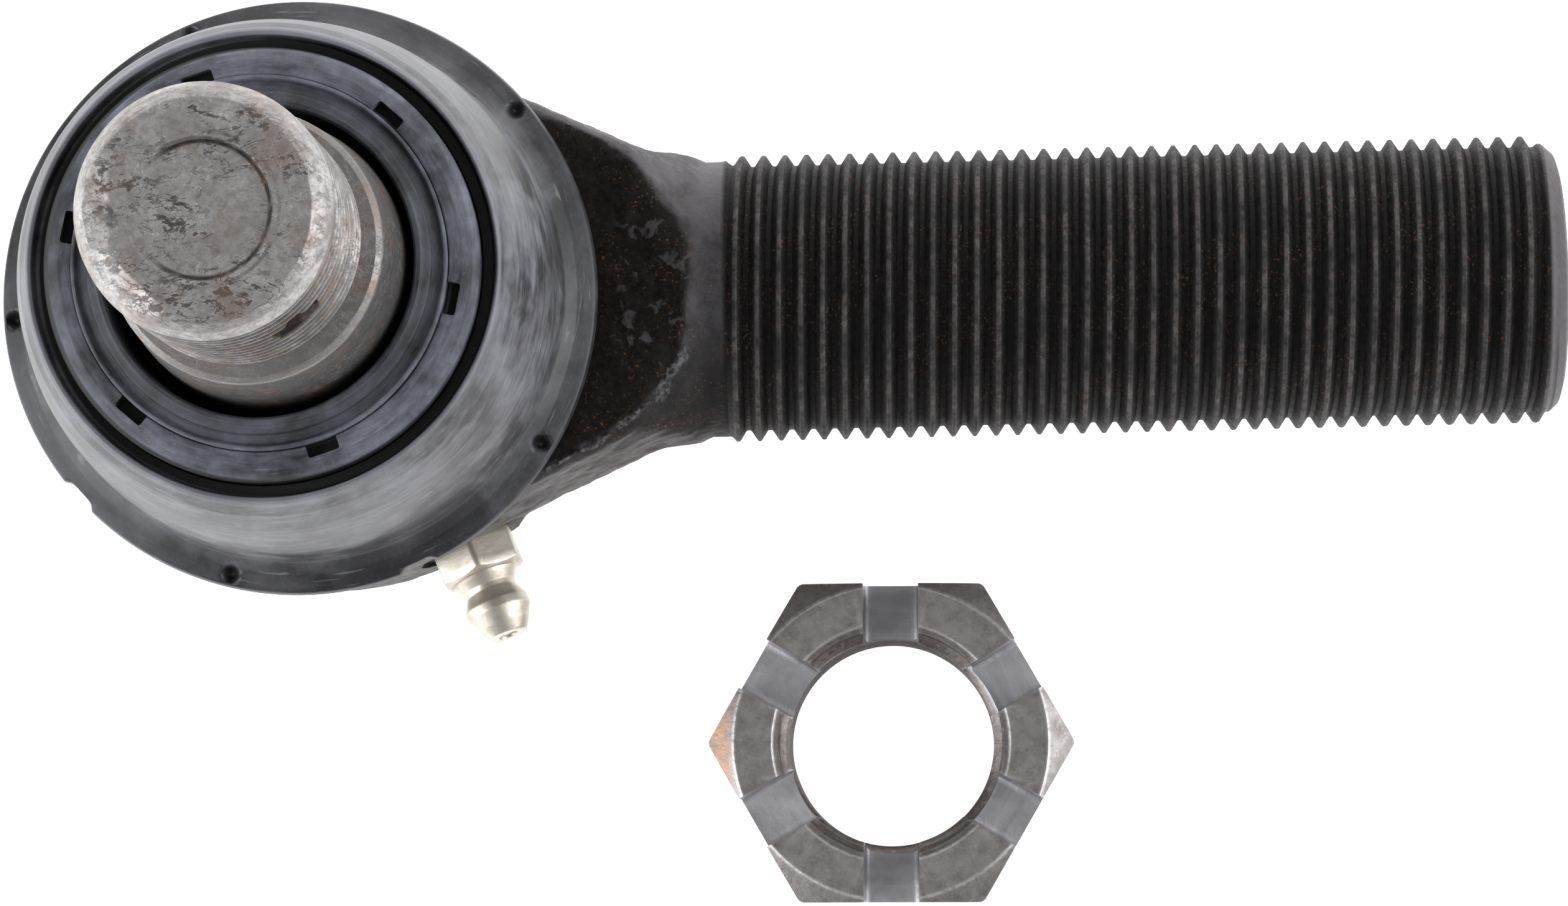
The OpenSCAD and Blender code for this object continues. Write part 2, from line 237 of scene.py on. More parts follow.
class Shader:
    """Builds one node material. Numbers go straight onto sockets and nodes are linked by name."""

    def __init__(self, name, bends=False):
        self.material = bpy.data.materials.new(name)
        self.material.use_nodes = True
        self.tree = self.material.node_tree
        self.tree.nodes.clear()
        self.out = self.tree.nodes.new("ShaderNodeOutputMaterial")
        self.bsdf = self.tree.nodes.new("ShaderNodeBsdfPrincipled")
        self.tree.links.new(self.bsdf.outputs[0], self.out.inputs["Surface"])
        if bends:
            self.place = self.node("ShaderNodeAttribute", attribute_name="rest_place").outputs["Vector"]
        else:
            self.place = self.node("ShaderNodeTexCoord").outputs["Object"]

    def node(self, kind, **settings):
        made = self.tree.nodes.new(kind)
        for key, value in settings.items():
            setattr(made, key, value)
        return made

    def put(self, socket, value):
        if isinstance(value, bpy.types.NodeSocket):
            self.tree.links.new(value, socket)
        else:
            socket.default_value = value

    def math(self, operation, a, b=0.0, c=0.0):
        made = self.node("ShaderNodeMath", operation=operation)
        for socket, value in zip(made.inputs, (a, b, c)):
            self.put(socket, value)
        return made.outputs[0]

    def times(self, a, b):
        return self.math("MULTIPLY", a, b)

    def plus(self, a, b):
        return self.math("ADD", a, b)

    def minus(self, a, b):
        return self.math("SUBTRACT", a, b)

    def hypot(self, x, y):
        return self.math("SQRT", self.plus(self.times(x, x), self.times(y, y)))

    def stand_out(self):
        """How far the surface stands out from what is round it, as mark_stand_out stored it."""
        return self.node("ShaderNodeAttribute", attribute_name="stand_out").outputs["Fac"]

    def vector(self, operation, a, b=(0, 0, 0)):
        made = self.node("ShaderNodeVectorMath", operation=operation)
        self.put(made.inputs[0], a)
        self.put(made.inputs[1], b)
        return made.outputs["Vector"]

    def split(self, vector=None):
        made = self.node("ShaderNodeSeparateXYZ")
        self.put(made.inputs[0], vector or self.place)
        return made.outputs

    def join(self, x, y, z):
        made = self.node("ShaderNodeCombineXYZ")
        for socket, value in zip(made.inputs, (x, y, z)):
            self.put(socket, value)
        return made.outputs[0]

    def noise(self, scale, detail=4.0, rough=0.55, where=None, distort=0.0):
        made = self.node("ShaderNodeTexNoise")
        self.put(made.inputs["Vector"], where or self.place)
        made.inputs["Scale"].default_value = scale
        made.inputs["Detail"].default_value = detail
        made.inputs["Roughness"].default_value = rough
        made.inputs["Distortion"].default_value = distort
        return made.outputs[0]

    def fit(self, value, low, high, to_low=0.0, to_high=1.0):
        made = self.node("ShaderNodeMapRange", clamp=True)
        for socket, v in zip(made.inputs, (value, low, high, to_low, to_high)):
            self.put(socket, v)
        return made.outputs[0]

    def mix(self, share, a, b):
        made = self.node("ShaderNodeMix", data_type="RGBA")
        self.put(made.inputs["Factor"], share)
        for socket, value in ((made.inputs["A"], a), (made.inputs["B"], b)):
            self.put(socket, value if isinstance(value, bpy.types.NodeSocket) else (*value, 1.0))
        return made.outputs["Result"]

    def blend(self, share, a, b):
        made = self.node("ShaderNodeMix", data_type="FLOAT")
        for socket, value in zip(made.inputs[0:1] + made.inputs[2:4], (share, a, b)):
            self.put(socket, value)
        return made.outputs[0]

    def bump(self, height, distance, strength):
        made = self.node("ShaderNodeBump")
        made.inputs["Strength"].default_value = strength
        made.inputs["Distance"].default_value = distance
        self.put(made.inputs["Height"], height)
        return made.outputs[0]

    def finish(self, **sockets):
        for name, value in sockets.items():
            socket = self.bsdf.inputs[name.replace("_", " ")]
            if isinstance(value, tuple) and len(value) == 3 and "Normal" not in name:
                value = (*value, 1.0)
            self.put(socket, value)
        return self.material

# ---------------------------------------------------------------- the forging

SHANK_R = 14.06                                          # over the worn crests, inside the mount's radius
STUD_R = MOUNT["stud_thread"]["dims"]["r_mm"]
SHANK_PITCH = 25.4 / 12                                  # 1 1/8-12, left hand
STUD_PITCH = 25.4 / 14                                   # 7/8-14
DEPTH = 0.6134                                           # thread depth per pitch
ALONG_X = ABOUT_BALL @ Matrix.Rotation(math.pi / 2, 4, "Y")
COLLAR_R = 13.55
COLUMNS = 192

ZERK = (Matrix.Translation((14.1, -22.6, BALL_Z - 7.5)) @ Matrix.Rotation(math.radians(-69), 4, "Z")
        @ Matrix.Rotation(math.radians(82), 4, "Y"))


def neck_body():
    """The neck as rings of points along X, each ring a rounded box clipped by the flare."""
    top = [(0, 26.4), (8, 25.9), (14, 23.6), (21, 20.3), (27, 17.5), (32.5, 15.1), (34.3, 14.5), (37.6, 14.4),
           (39.4, 13.85), (42, 13.6)]
    side = [(0, 13.2), (29, 13.2), (37.4, 14.4), (42, 14.4)]
    flare = [(0, 34), (22, 34), (27, 27.5), (29, 23.5), (31, 20.3), (33, 17.8), (35, 15.8), (37, 14.6),
             (39, COLLAR_R), (42, COLLAR_R - 0.05)]
    stations = np.linspace(0, 41, 83)
    angle = np.linspace(0, 2 * math.pi, 160, endpoint=False)
    points = []
    for x in stations:
        half_y = np.interp(x, *zip(*top))
        half_z = np.interp(x, *zip(*side))
        reach = np.interp(x, *zip(*flare))
        draft = np.interp(x, (0, 34, 38), (0.105, 0.105, 0.0))
        to_side = half_y / (np.abs(np.cos(angle)) + draft * np.abs(np.sin(angle)))
        to_top = half_z / np.maximum(np.abs(np.sin(angle)), 1e-6)
        r_box = (to_side ** -24 + to_top ** -24) ** (-1 / 24)
        r = (r_box ** -30 + reach ** -30.0) ** (-1 / 30)
        points += [(x, ri * math.cos(a), ri * math.sin(a)) for ri, a in zip(r, angle)]
    n = len(angle)
    faces = [(i * n + j, i * n + (j + 1) % n, (i + 1) * n + (j + 1) % n, (i + 1) * n + j)
             for i in range(len(stations) - 1) for j in range(n)]
    faces += [tuple(range(n)), tuple(range((len(stations) - 1) * n, len(stations) * n))]
    return make_object("neck", points, faces, ABOUT_BALL)


def raise_marks(piece):
    """A low ridge round the neck's plateau and a few shapeless lumps on it, left by the forging dies."""
    lumps = [(29.5, 5.2), (31.6, 6.1), (30.2, 0.8), (33.2, 0.2), (31.4, -2.2), (29.6, -5.0), (32.6, -5.6),
             (34.1, 3.4)]
    for v in piece.data.vertices:
        x, y, z = v.co.x / MM, v.co.y / MM, v.co.z / MM - BALL_Z
        if z < 11 or x < 25:
            continue
        past = x + 0.0027 * abs(y) ** 3 - 37.2
        lift = 0.32 * math.exp(-(past / 0.55) ** 2) * (1.0 if y < 0 else 0.35)
        wobble = 0.8 + 0.5 * noise.noise((x * 0.9, y * 0.9, 3.0))
        lift += sum(0.28 * math.exp(-(((x - lx) / 0.7) ** 2 + ((y - ly) / 1.0) ** 2) * wobble ** 2)
                    for lx, ly in lumps)
        v.co.z += lift * MM


def solid_of(name, outline, columns=COLUMNS, place=None, closed=True):
    points, faces = turned(outline, columns, closed)
    return make_object(name, points, faces, place or ABOUT_BALL)


def socket_forging():
    """A forged body with soft fillets, then cut to its machined faces, then joined to the shank."""
    body = solid_of("socket_forging",
                    dense([(0, BOTTOM - 1), (22.6, BOTTOM), (25.4, BOTTOM + 3), (SOCKET_R, BOTTOM + 8),
                           (SOCKET_R, SOCKET_TOP + 1.5), (0, SOCKET_TOP + 1.5)], 1.5), closed=False)
    combine(body, neck_body(), "UNION")
    pad = solid_of("pad", [(0, -7), (5.6, -7), (5.6, 0.3), (0, 0.3)], 96, ZERK, closed=False)
    combine(body, pad, "UNION")
    remesh = body.modifiers.new("remesh", "REMESH")
    remesh.mode = "VOXEL"
    remesh.voxel_size = 0.55 * MM
    soften = body.modifiers.new("soften", "SMOOTH")
    soften.factor = 0.5
    soften.iterations = 7
    take_result(body)
    roughen(body, 0.16, 3.2, lambda p: 1.0 if p.x > 0.020 else 0.55)
    raise_marks(body)
    roughen(body, 0.05, 0.9, seed=7.0)

    top_cut = solid_of("top_cut", [(0, SOCKET_TOP), (26.0, SOCKET_TOP), (26.0, 10), (27.4, 10), (27.4, 20),
                                   (0, 20)], 256, closed=False)
    combine(body, top_cut, "DIFFERENCE")
    floor_cut = solid_of("floor_cut", [(0, BOTTOM - 6), (60, BOTTOM - 6), (60, BOTTOM), (0, BOTTOM)],
                         64, closed=False)
    combine(body, floor_cut, "DIFFERENCE")
    seat = [(19.1 * math.cos(a), 19.1 * math.sin(a)) for a in np.linspace(0, math.asin(9.6 / 19.1), 14)]
    hollow = ([(0, BOTTOM - 1), (18.2, BOTTOM - 1), (17.2, BOTTOM + 0.4), (17.2, BOTTOM + 1.15),
               (20.15, BOTTOM + 1.15), (20.15, -20.65), (19.1, -20.65)] + seat
              + [(18.3, SOCKET_TOP), (18.3, 16), (0, 16)])
    combine(body, solid_of("hollow", hollow, 256, closed=False), "DIFFERENCE")
    nipple_cut = solid_of("nipple_cut", [(0, -14), (3.02, -14), (3.02, 0), (5.6, 0), (5.6, 7), (0, 7)], 96,
                          ZERK, closed=False)
    combine(body, nipple_cut, "DIFFERENCE")
    combine(body, shank(), "UNION")
    return body


def shank():
    """The collar and the left-hand thread, from inside the neck to the free end."""
    root_r = MOUNT["shank_thread"]["dims"]["r_mm"] - DEPTH * SHANK_PITCH
    run_in, chamfer_at, end = 40.3, SHANK_END - 2.2, SHANK_END
    slope = (SHANK_R - 12) / (end - chamfer_at)
    stop = chamfer_at + (SHANK_R - root_r) / slope

    def crest(z):
        return np.minimum(ramp(z, run_in, run_in + 0.9, COLLAR_R, SHANK_R),
                          SHANK_R - np.clip(z - chamfer_at, 0, 9) * slope)

    def root(z):
        return np.minimum(ramp(z, run_in, run_in + 1.8, COLLAR_R, root_r), crest(z))

    start = turned(dense([(0, 30), (COLLAR_R - 1.0, 30), (COLLAR_R - 1.0, 37.5), (COLLAR_R, 39),
                          (COLLAR_R, run_in)], 0.5), COLUMNS)
    thread = threaded(run_in, stop, SHANK_PITCH, root, crest, hand=-1, columns=COLUMNS, phase=0.25)
    tip = turned([(root_r, stop)]
                 + rounded([(root_r, stop), (12.3, end - 0.3, 0.5), (11.3, end, 0.6), (0, end)])[1:], COLUMNS)
    return make_object("shank", *joined([start, thread, tip]), ALONG_X)


# ---------------------------------------------------------------- the stud and the nut


def ball_stud():
    """Ball, neck, taper and right-hand thread, with the cross hole drilled through."""
    root_r = STUD_R - DEPTH * STUD_PITCH
    ball_r, flat_depth = 17.5, 16.7
    ball = [(ball_r * math.cos(a), ball_r * math.sin(a))
            for a in np.linspace(-math.asin(flat_depth / ball_r), 0.79, 56)]
    first, last = 55.0, STUD_TOP - 2.0
    low = rounded([(0, -flat_depth)] + [(*ball[0], 0)] + [(*p, 0) for p in ball[1:-1]]
                  + [(11.5, 13.6, 1.2), (11.5, 17.2, 1.5), (12.2, 19.4, 1.5), (14.2, 23.5, 0.8),
                     (12.42, 52, 0.35), (11.9, 52.5, 0.2), (9.95, 52.75, 0.5), (9.95, 54.2, 0.5),
                     (10.3, first)])

    def crest(z):
        return np.minimum(ramp(z, first, first + 1.1, 10.3, STUD_R),
                          STUD_R - np.clip(z - (last - 0.4), 0, 9) * 0.5)

    def root(z):
        return np.minimum(np.maximum(ramp(z, first, first + 1.0, 10.3, root_r),
                                     ramp(z, last - 1.5, last - 0.3, root_r, STUD_R)), crest(z))

    thread = threaded(first, last, STUD_PITCH, root, crest, columns=COLUMNS, phase=0.3)
    end_r = float(crest(last))
    top = STUD_TOP
    cap = rounded([(end_r, last), (10.55, last + 0.75, 0.6), (9.9, top - 0.42, 0.5), (9.5, top - 0.1, 0.4),
                   (8.6, top, 0.5), (6.6, top, 0.2), (6.1, top, 0.05), (5.9, top - 0.3, 0.08),
                   (5.6, top - 0.3, 0.15), (4.6, top - 0.16, 0.6), (3, top - 0.12, 1), (0, top - 0.15)])

    def battered(radius, height, angle):
        """Two hammered facets at the rim, a coined circle that fades out on one side, and small dents."""
        x, y = radius * np.cos(angle), radius * np.sin(angle)
        for turn, start, slope in ((180, 7.7, 0.26), (224, 8.2, 0.50), (150, 9.0, 0.30)):
            along = x * math.cos(math.radians(turn)) + y * math.sin(math.radians(turn))
            height = np.where(height > last, np.minimum(height, top - slope * np.clip(along - start, 0, 9)),
                              height)
        fade = np.clip((np.cos(angle - math.radians(190)) - 0.35) / 0.3, 0, 1)
        flat = top - 0.08
        height = np.where((radius < 6.4) & (height > top - 1),
                          height + (np.minimum(flat, top) - height) * fade, height)
        dents = np.array([noise.fractal((a * 0.55, b * 0.9, 2.0), 1.0, 2.0, 4)
                          for a, b in zip(x.ravel(), y.ravel())])
        inner = (radius < 10.2) & (height > last)
        height = height - inner * 0.10 * np.clip(dents.reshape(x.shape) - 0.10, 0, 0.8)
        return radius, height

    shape = joined([turned(low, COLUMNS), thread, turned(dense(cap, 0.16), COLUMNS, change=battered)])
    stud = make_object("ball_stud", *shape, ABOUT_BALL)
    drill = make_object("drill", *turned([(0, -20), (2.6, -20), (2.6, 20), (0, 20)], 48),
                        ABOUT_BALL @ Matrix.Translation((0, 0, 67.5))
                        @ Matrix.Rotation(math.radians(-52), 4, "Z") @ Matrix.Rotation(math.pi / 2, 4, "Y"))
    combine(stud, drill, "DIFFERENCE")
    lean_axis = Vector((-0.81, -0.58, 0))
    leaning = Matrix.Rotation(math.radians(0.15), 4, lean_axis)
    stud.data.transform(ABOUT_BALL_METRES @ leaning @ ABOUT_BALL_METRES.inverted())
    return stud


def prism_faces(n):
    """Faces of a prism whose two ends have n points each, one end after the other."""
    sides = [(j, (j + 1) % n, n + (j + 1) % n, n + j) for j in range(n)]
    return sides + [tuple(range(n)), tuple(range(n, 2 * n))]


def hexagon(angle, flats):
    """Radius of a hexagon with slightly rounded corners, which lie on +X and -X."""
    soft = 0.12
    turn = (angle + math.pi / 6) % (math.pi / 3) - math.pi / 6
    from_corner = np.abs(turn)
    straight = flats / 2 / np.cos(math.pi / 6 - from_corner)
    corner = flats / 2 / math.cos(math.pi / 6)
    return np.minimum(straight, corner - soft + soft * (from_corner * corner / 2) ** 2 * 0.5)


def hex_prism(flats, low, high, face_low, face_high, inner, columns, slope=0.577):
    """Points and faces of a chamfered hexagonal wall. face_low and face_high are the radii of its
    flat end faces, and inner is (outline up from below, outline down from above) of what it joins."""
    angle = np.arange(columns) * 2 * math.pi / columns
    wall = hexagon(angle, flats)
    z_low = low + np.clip(wall - face_low, 0, None) * slope
    z_high = high - np.clip(wall - face_high, 0, None) * slope
    edge = 0.18
    rows = [(np.full(columns, r), np.full(columns, z)) for r, z in inner[0]]
    rows += [(np.full(columns, face_low), np.full(columns, low)),
             (wall - edge, z_low - edge * slope * 0.6 + 0.03), (wall - edge * 0.3, z_low + edge * 0.15),
             (wall, z_low + edge)]
    rows += [(wall, z_low + (z_high - z_low) * t) for t in (0.25, 0.5, 0.75)]
    rows += [(wall, z_high - edge), (wall - edge * 0.3, z_high - edge * 0.15),
             (wall - edge, z_high + edge * slope * 0.6 - 0.03),
             (np.full(columns, face_high), np.full(columns, high))]
    rows += [(np.full(columns, r), np.full(columns, z)) for r, z in inner[1]]
    r = np.stack([a for a, _ in rows], 1)
    z = np.stack([b for _, b in rows], 1)
    points = np.stack([r * np.cos(angle)[:, None], r * np.sin(angle)[:, None], z], -1).reshape(-1, 3)
    return points, grid_faces(columns, len(rows))


def slotted_nut():
    """A hexagonal nut with its thread, chamfers and six slots for a cotter pin."""
    high = NUT_HIGH[2] / MM
    inner_r, groove_r = 10.2, 11.15
    low_end, high_end = 1.35, high - 1.35
    place = (Matrix.Translation((NUT_CENTRE.x / MM, NUT_CENTRE.y / MM, 0))
             @ Matrix.Rotation(math.radians(NUT_TURN), 4, "Z"))

    def crest(z):
        near_end = np.minimum(z - low_end, high_end - z)
        return np.maximum(inner_r, 11.2 - np.clip(near_end, 0, 9) * 0.9)

    def root(z):
        return np.maximum(groove_r, crest(z))

    outer = hex_prism(31.6, 0, high, 15.6, 15.55, ([(11.2, low_end), (11.25, 0.9), (11.7, 0.12), (11.85, 0)],
                                                   [(11.85, high), (11.7, high - 0.12), (11.25, high - 0.9),
                                                    (11.2, high_end)]), COLUMNS * 2)
    thread = threaded(low_end, high_end, STUD_PITCH, root, crest, columns=COLUMNS * 2)
    nut = make_object("slotted_nut", *joined([outer, thread]), place)
    for i in range(3):
        half, depth = 2.75, high - 6
        section = rounded([(-half, 30), (-half, depth, 0.7), (half, depth, 0.7), (half, 30)], steps=5)
        n = len(section)
        points = [(x, y, z) for x in (-20.0, 20.0) for y, z in section]
        faces = prism_faces(n)
        slot = make_object("slot", points, faces, place @ Matrix.Rotation(math.radians(30 + 60 * i), 4, "Z"))
        combine(nut, slot, "DIFFERENCE")
    return nut


# ---------------------------------------------------------------- the boot and its seal


def lean(piece):
    """Sets the boot a little off the stud's axis, more so towards its lip."""
    for v in piece.data.vertices:
        share = float(ramp(v.co.z / MM - BALL_Z, 16, 36, 0, 1))
        v.co.x -= 0.35 * MM * share
        v.co.y -= 0.30 * MM * (1 - share)
    return piece


def flange_marks(radius, height, angle):
    """Small dimples round the boot's flange and two shallow notches in its edge."""
    turn = 2 * math.pi / 5
    to_dimple = ((angle - math.radians(39.5) + turn / 2) % turn - turn / 2) * 27.4
    to_notch = np.minimum(np.abs(angle - math.radians(221)), np.abs(angle - math.radians(293))) * 28.6
    gap = np.sqrt(to_dimple ** 2 + (radius - 27.4) ** 2)
    height = height - 1.2 * np.clip(1.5 - gap / 0.62, 0, 1) * (height > 13.9)
    cut = 0.6 * np.clip(1 - (to_notch / 1.9) ** 4, 0, 1) * (radius > 28.1)
    return radius - cut, height


BOOT_SPLIT = 26.0
BOOT_FLANGE = [(20.5, 13.25, 0.3), (28.42, 13.25, 0.2), (28.78, 13.7, 0.3), (28.57, 14.5, 0.4),
               (26.85, 15.2, 0.3), (25.7, 16.2, 0.8), (25.3, 17.5, 1.5), (25.2, 21, 2)]
BOOT_INSIDE = [(23, 21, 2), (22.5, 17.2, 1.5), (20.5, 15.3, 0.6)]


def boot_lower():
    outline = rounded(BOOT_FLANGE + [(24.8, BOOT_SPLIT, 0), (22.6, BOOT_SPLIT, 0)] + BOOT_INSIDE, closed=True)
    points, faces = turned(dense(outline, 0.35, closed=True), 720, closed=True, change=flange_marks)
    return lean(make_object("boot_lower", points, faces, ABOUT_BALL))


def boot_upper():
    outline = rounded([(22.6, BOOT_SPLIT, 0), (24.8, BOOT_SPLIT, 0), (24, 31, 3), (22.95, 35.2, 1.2),
                       (22.25, 36.8, 0.7), (22, 37.6, 0.35), (21.75, 37.98, 0.2), (21.4, 37.9, 0.15),
                       (21.2, 36.45, 0.15), (20.2, 36.42, 0.05), (20.2, 35, 0.2), (21.6, 31, 1)], closed=True)
    return lean(solid_of("boot_upper", dense(outline, 0.35, closed=True), 360))


def seal_ring():
    """The ring inside the boot's lip, with six slots that open towards the stud."""
    outline = rounded([(17.35, 36.2, 0), (20.1, 36.2, 0.1), (20.1, 38.6, 0.35), (19.6, 39.3, 0.6),
                       (18.6, 39.72, 0.6), (17.35, 39.9, 0.15)], closed=True)
    ring = solid_of("seal_ring", dense(outline, 0.4, closed=True), 480)
    for i in range(6):
        cutter = rounded_block(16.4, 18.5, 3.0, 38.3, 42, 0.3)
        cutter.matrix_world = (Matrix.Scale(MM, 4) @ ABOUT_BALL
                               @ Matrix.Rotation(math.radians(48 + 60 * i), 4, "Z"))
        combine(ring, cutter, "DIFFERENCE")
    return lean(ring)


def rounded_block(x0, x1, width, z0, z1, radius):
    """A block with its upright outer corners rounded, in millimetres at the origin."""
    half = width / 2
    plan = rounded([(x0, -half, 0), (x1, -half, radius), (x1, half, radius), (x0, half, 0)],
                   steps=4, closed=True)
    n = len(plan)
    points = [(x, y, z) for z in (z0, z1) for x, y in plan]
    faces = prism_faces(n)
    block = make_object("block", points, faces)
    block.data.transform(Matrix.Scale(1 / MM, 4))
    return block


def wiper_lip():
    outline = rounded([(14.1, 31, 0.2), (14.6, 31, 0.2), (14.6, 34.6, 0.2), (16.0, 35, 0.1),
                       (16.0, 36.2, 0.1), (17.3, 36.2, 0.1), (17.3, 40.5, 0.2), (16.95, 40.6, 0.15),
                       (16.65, 40.0, 0.12), (15.9, 40.2, 0.15), (15.8, 40.7, 0.15), (15.1, 40.9, 0.15),
                       (15, 41.28, 0.15), (14.5, 41.28, 0.15), (14.3, 41, 0.15), (14.3, 34, 0.2),
                       (14.1, 32.6, 0.2)], closed=True)
    return lean(solid_of("wiper_lip", dense(outline, 0.3, closed=True), 360))


def clamp_ring():
    """A flat band with its rounded edges."""
    outline = rounded([(26.06, 10.25), (27.28, 10.25), (27.28, 13.15), (26.06, 13.15)], 0.35, closed=True)
    return solid_of("boot_clamp_ring", dense(outline, 0.3, closed=True), 256)


def end_cover():
    """The pressed cover under the ball, dished in the middle."""
    low, high = BOTTOM + 1.22, -20.72
    outline = rounded([(0, BOTTOM + 0.04), (9.8, BOTTOM + 0.04, 1.2), (11.6, low, 1.2), (20.05, low, 0.4),
                       (20.05, high, 0.4), (12.2, high, 1.2), (10.6, high - 1.15, 1.2), (0, high - 1.15)])
    return solid_of("end_cover", dense(outline, 0.5), 256, closed=False)


# ---------------------------------------------------------------- the grease fitting


def zerk_body():
    """A hexagon, the nipple on it and its threaded tail, with the bore through."""
    nipple = rounded([(3.3, 4.2), (3.15, 4.5, 0.3), (2.65, 5.3, 0.5), (2.6, 5.9, 0.5), (3.25, 7.2, 0.6),
                      (3.25, 8.1, 0.7), (2.6, 9.5, 0.7), (1.95, 10.57, 0.3), (0.98, 10.57, 0.1),
                      (0.92, 10.2, 0.2), (1.6, 9.4, 0.3), (1.6, -7, 0)])
    tail_low, tail_high, pitch = -6.4, -0.7, 25.4 / 28

    def crest(z):
        return np.minimum(3.0, 2.4 + np.clip(np.minimum(z - tail_low, tail_high - z), 0, 9) * 0.9)

    def root(z):
        return np.full_like(z, 2.4)

    thread = threaded(tail_low, tail_high, pitch, root, crest, columns=144)
    tail = turned([(1.6, -7), (2.2, -7), (2.4, tail_low)], 144)
    hexa = hex_prism(7.94, 0.02, 4.2, 3.7, 3.7, ([(2.4, tail_high), (2.4, 0.02)], nipple), 144, slope=0.5)
    return make_object("zerk_body", *joined([tail, thread, hexa]), ZERK)


# ---------------------------------------------------------------- materials


def mark_place(piece):
    """Stores each point's place at rest, so that the colours of a piece that bends stay on its rubber."""
    mesh = piece.data
    co = np.empty(len(mesh.vertices) * 3, dtype=np.float32)
    mesh.vertices.foreach_get("co", co)
    mesh.attributes.new("rest_place", "FLOAT_VECTOR", "POINT").data.foreach_set("vector", co)


def mark_stand_out(piece):
    """Stores how far each point stands out from its neighbours, as the attribute "wear"."""
    mesh = piece.data
    count = len(mesh.vertices)
    co = np.empty(count * 3)
    mesh.vertices.foreach_get("co", co)
    co = co.reshape(-1, 3)
    normal = np.empty(count * 3)
    mesh.vertices.foreach_get("normal", normal)
    normal = normal.reshape(-1, 3)
    edges = np.empty(len(mesh.edges) * 2, dtype=np.int64)
    mesh.edges.foreach_get("vertices", edges)
    edges = edges.reshape(-1, 2)
    total, links = np.zeros(count), np.zeros(count)
    for a, b in ((edges[:, 0], edges[:, 1]), (edges[:, 1], edges[:, 0])):
        step = co[b] - co[a]
        length = np.maximum(np.linalg.norm(step, axis=1), 1e-7)
        np.add.at(total, a, -np.sum(step * normal[a], axis=1) / length)
        np.add.at(links, a, 1)
    bend = total / np.maximum(links, 1)
    for _ in range(3):
        spread, links = bend.copy(), np.ones(count)
        for a, b in ((edges[:, 0], edges[:, 1]), (edges[:, 1], edges[:, 0])):
            np.add.at(spread, a, bend[b])
            np.add.at(links, a, 1)
        bend = spread / links
    layer = mesh.attributes.new("stand_out", "FLOAT", "POINT")
    layer.data.foreach_set("value", bend.astype(np.float32))


def around(s):
    """Coordinates that wrap round the stud axis, for streaks that follow the turning, and the radius."""
    stretch = 0.012                                      # how long a streak is, against its width
    x, y, z = s.split()
    radius = s.hypot(x, y)
    inverse = s.math("DIVIDE", stretch, s.math("MAXIMUM", radius, 0.0005))
    return s.join(s.times(x, inverse), s.times(y, inverse),
                  s.plus(z, radius)), radius


